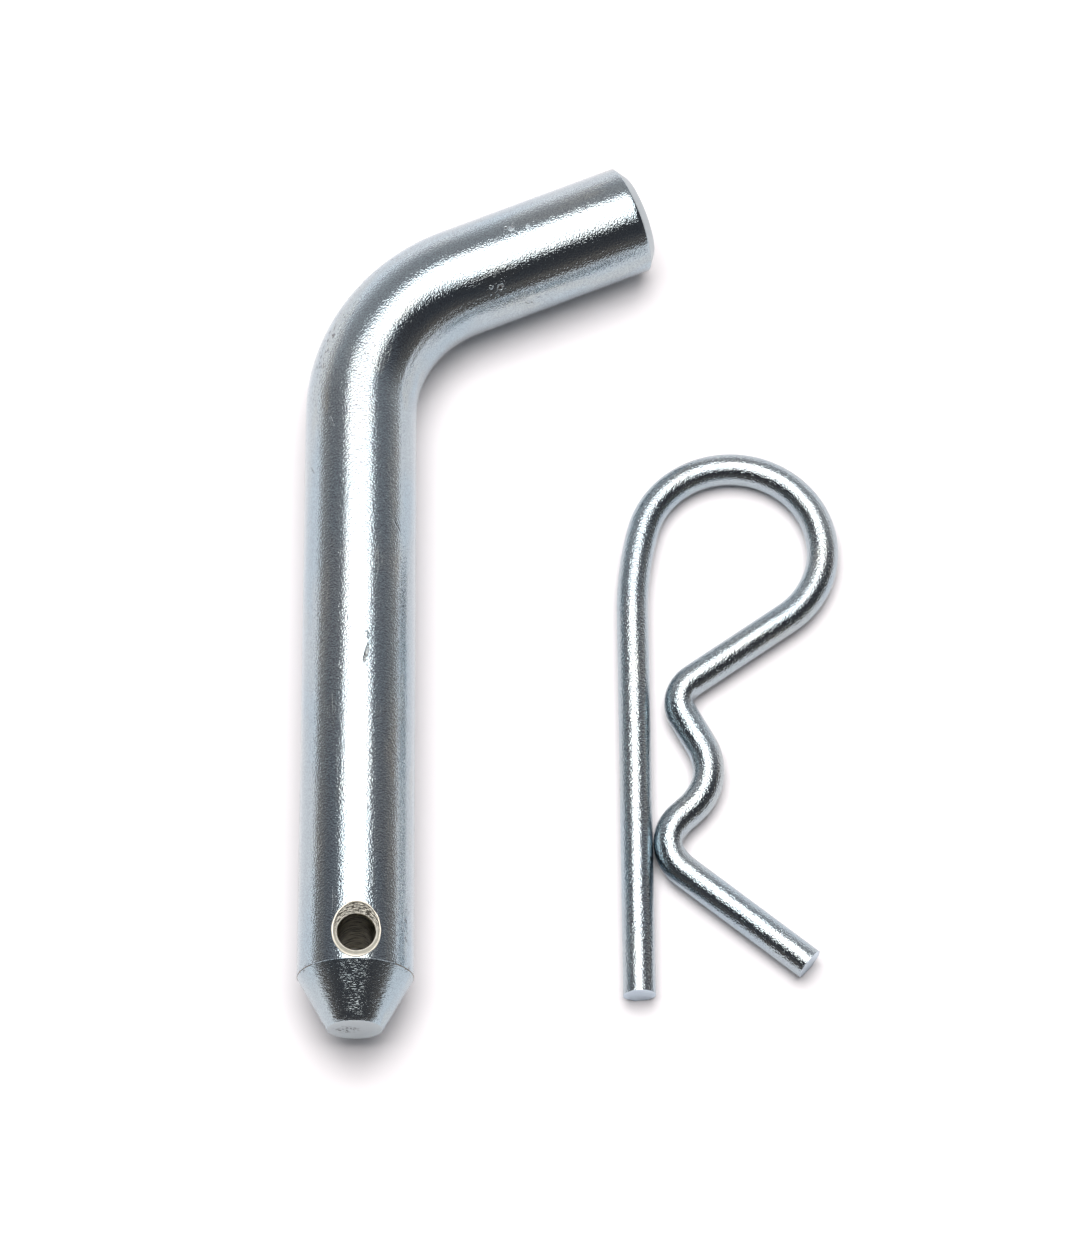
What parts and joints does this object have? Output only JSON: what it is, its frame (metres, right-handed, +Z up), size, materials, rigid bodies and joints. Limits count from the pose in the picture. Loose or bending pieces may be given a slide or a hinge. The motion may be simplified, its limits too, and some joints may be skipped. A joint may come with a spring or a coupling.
{
  "type": "hitch pin with r-clip",
  "caption": "Bent round steel hitch pin with a coned tip and a countersunk cross hole, with a sprung wire R-clip that locks it in a receiver tube.",
  "frame": {"origin": "middle of the underside of the pin and clip together, on the surface that they lie on", "axes": "+Y along the pin's shank from its tip towards the bend, +X from the pin towards the clip, +Z up from the surface"},
  "size_m": [0.076, 0.132, 0.0159],
  "materials": {
    "zinc_plated_bar": "bright blue-white zinc plate on turned bar, with fine grain and a few nicks",
    "zinc_plated_wire": "bright blue-white zinc plate on drawn spring wire, with fine grain"
  },
  "bodies": {
    "pin": {"hitch_pin": "zinc_plated_bar"},
    "clip": {"clip_straight_leg": "zinc_plated_wire"},
    "spring_leg": {"clip_spring_leg": "zinc_plated_wire"}
  },
  "joints": [
    {"name": "clip_lift", "type": "slide", "parent": "pin", "child": "clip", "axis": [0, 0, 1], "range_m": [0, 0.06]},
    {"name": "spring_leg_flex", "type": "hinge", "parent": "clip", "child": "spring_leg", "pos_m": [0.02277, 0.0228, 0.00225], "axis": [0, 0, 1], "range_deg": [0, 6], "stiffness_Nm_per_rad": 57}
  ]
}
